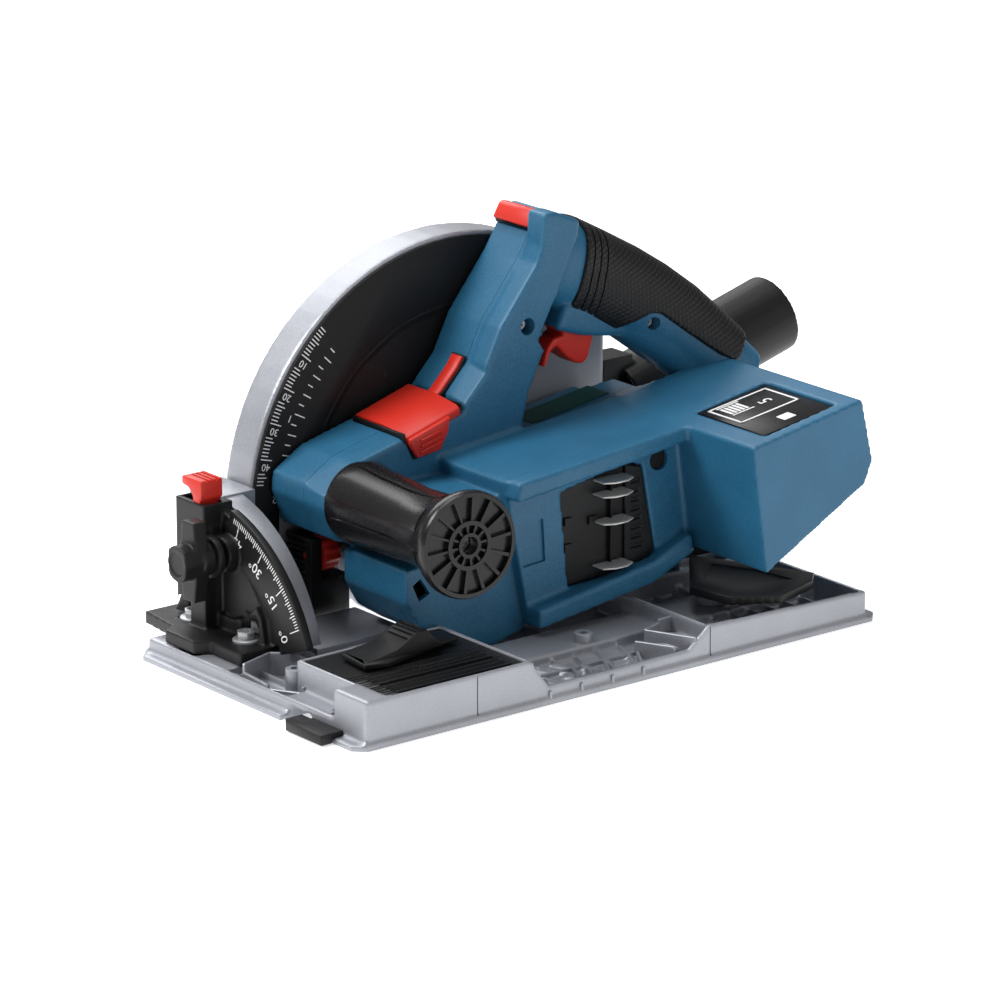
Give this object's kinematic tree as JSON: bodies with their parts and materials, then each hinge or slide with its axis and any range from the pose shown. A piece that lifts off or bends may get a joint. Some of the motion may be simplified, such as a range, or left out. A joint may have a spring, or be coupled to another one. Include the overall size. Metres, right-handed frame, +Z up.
{
  "type": "track plunge saw",
  "caption": "Cordless plunge-cut circular saw with a tilting guard and a long cast base that slides along a guide rail.",
  "frame": {"origin": "on the flat sole of the base plate, at the middle of the plate's length and width", "axes": "+X forward along the cut, +Y to the motor and battery side, +Z up from the sole"},
  "size_m": [0.4409, 0.2104, 0.2613],
  "materials": {
    "blue_housing": "fine spark texture",
    "black_plastic": "satin",
    "black_rubber": "soft matt",
    "red_plastic": "satin",
    "cast_aluminium": "shot-blasted and painted silver",
    "steel": "turned",
    "blade_steel": "ground",
    "copper_winding": "enamelled wire",
    "display_screen": "gloss",
    "circuit_board": "solder mask"
  },
  "bodies": {
    "base": {"base_plate": "cast_aluminium", "front_bevel_bracket": "black_plastic", "rear_bevel_bracket": "black_plastic", "front_bracket_bolt_1": "steel", "front_bracket_bolt_2": "steel", "rear_bracket_bolt_1": "steel", "rear_bracket_bolt_2": "steel", "front_insert": "black_plastic", "nose_insert": "black_plastic", "rear_plate_socket": "cast_aluminium"},
    "front_wing_knob": {"front_wing_knob": "black_plastic"},
    "rear_wing_knob": {"rear_wing_knob": "black_plastic"},
    "undercut_slide": {"undercut_slide": "red_plastic"},
    "front_rail_lever": {"front_rail_lever": "black_plastic"},
    "rear_rail_plate": {"rear_rail_plate": "black_plastic"},
    "guard": {"guard_shell": "cast_aluminium", "depth_scale_plate": "black_plastic", "front_bevel_segment": "cast_aluminium", "rear_bevel_segment": "cast_aluminium", "guard_skirt": "cast_aluminium", "dust_port": "black_plastic", "plunge_pin": "steel", "plunge_spring": "steel"},
    "depth_stop": {"depth_stop": "black_plastic"},
    "depth_wheel": {"depth_wheel": "red_plastic"},
    "unit": {"gear_case": "cast_aluminium", "spindle_bearing": "steel", "stator": "copper_winding", "rotor_bearing": "steel", "housing_right": "blue_housing", "housing_left": "blue_housing", "main_handle": "blue_housing", "handle_grip": "black_rubber", "switch_module": "black_plastic", "display_panel": "display_screen", "control_board": "circuit_board", "contact_block": "black_plastic", "battery_contact_1": "steel", "battery_contact_2": "steel", "battery_contact_3": "steel", "battery_contact_4": "steel", "stub_handle": "black_plastic", "stub_bolt": "steel"},
    "trigger": {"trigger": "red_plastic"},
    "plunge_lock_button": {"plunge_lock_button": "red_plastic"},
    "blade_change_lever": {"blade_change_lever": "red_plastic"},
    "arbor": {"saw_blade": "blade_steel", "spindle": "steel", "inner_flange": "steel", "outer_flange": "steel", "blade_bolt": "steel", "arbor_gear": "steel"},
    "counter": {"counter_shaft": "steel", "counter_gear": "steel", "counter_wheel": "steel"},
    "rotor": {"rotor_shaft": "steel", "pinion": "steel", "rotor_core": "steel", "cooling_fan": "black_plastic"}
  },
  "joints": [
    {"name": "bevel_tilt", "type": "hinge", "parent": "base", "child": "guard", "pos_m": [0, -0.095, -0.005], "axis": [1, 0, 0], "range_deg": [-1, 47]},
    {"name": "plunge", "type": "hinge", "parent": "guard", "child": "unit", "pos_m": [-0.101, -0.08, 0.015], "axis": [0, -1, 0], "range_deg": [0, 25]},
    {"name": "front_clamp_turn", "type": "hinge", "parent": "base", "child": "front_wing_knob", "pos_m": [0.146, -0.06, 0.058], "axis": [1, 0, 0], "range_deg": [0, 90]},
    {"name": "rear_clamp_turn", "type": "hinge", "parent": "base", "child": "rear_wing_knob", "pos_m": [-0.1545, -0.062, 0.042], "axis": [-1, 0, 0], "range_deg": [0, 90]},
    {"name": "undercut_release", "type": "slide", "parent": "base", "child": "undercut_slide", "axis": [0, -1, 0], "range_m": [0, 0.005]},
    {"name": "front_rail_adjust", "type": "hinge", "parent": "base", "child": "front_rail_lever", "pos_m": [0.078, 0.036, 0.02], "axis": [0, 0, 1], "range_deg": [0, 20]},
    {"name": "rear_rail_adjust", "type": "hinge", "parent": "base", "child": "rear_rail_plate", "pos_m": [-0.1, 0.04, 0.02], "axis": [0, 0, 1], "range_deg": [-6, 6]},
    {"name": "depth_stop_set", "type": "hinge", "parent": "guard", "child": "depth_stop", "pos_m": [-0.101, -0.08, 0.015], "axis": [0, -1, 0], "range_deg": [0, 25]},
    {"name": "depth_wheel_turn", "type": "hinge", "parent": "depth_stop", "child": "depth_wheel", "pos_m": [0.067, -0.067, 0.0445], "axis": [1, 0, 0], "continuous": true},
    {"name": "trigger_pull", "type": "slide", "parent": "unit", "child": "trigger", "axis": [-0.6, 0, 0.8], "range_m": [0, 0.005], "stiffness_N_per_m": 900, "springref_m": -0.002},
    {"name": "plunge_lock_press", "type": "slide", "parent": "unit", "child": "plunge_lock_button", "axis": [0.56, 0, -0.8285], "range_m": [0, 0.004], "stiffness_N_per_m": 800, "springref_m": -0.002},
    {"name": "blade_lever_open", "type": "hinge", "parent": "unit", "child": "blade_change_lever", "pos_m": [0.041, -0.058, 0.109], "axis": [0, 1, 0], "range_deg": [0, 75]},
    {"name": "arbor_spin", "type": "hinge", "parent": "unit", "child": "arbor", "pos_m": [0.0286, -0.08, 0.017], "axis": [0, 1, 0], "continuous": true},
    {"name": "counter_spin", "type": "hinge", "parent": "unit", "child": "counter", "pos_m": [0.01563, -0.06, 0.04011], "axis": [0, 1, 0], "continuous": true},
    {"name": "rotor_spin", "type": "hinge", "parent": "unit", "child": "rotor", "pos_m": [0.03585, -0.02, 0.04343], "axis": [0, 1, 0], "continuous": true}
  ],
  "couplings": [
    {"joint": "depth_stop_set", "follows": "plunge", "ratio": 1},
    {"joint": "counter_spin", "follows": "arbor_spin", "ratio": -0.96296},
    {"joint": "rotor_spin", "follows": "arbor_spin", "ratio": 2.6263}
  ]
}
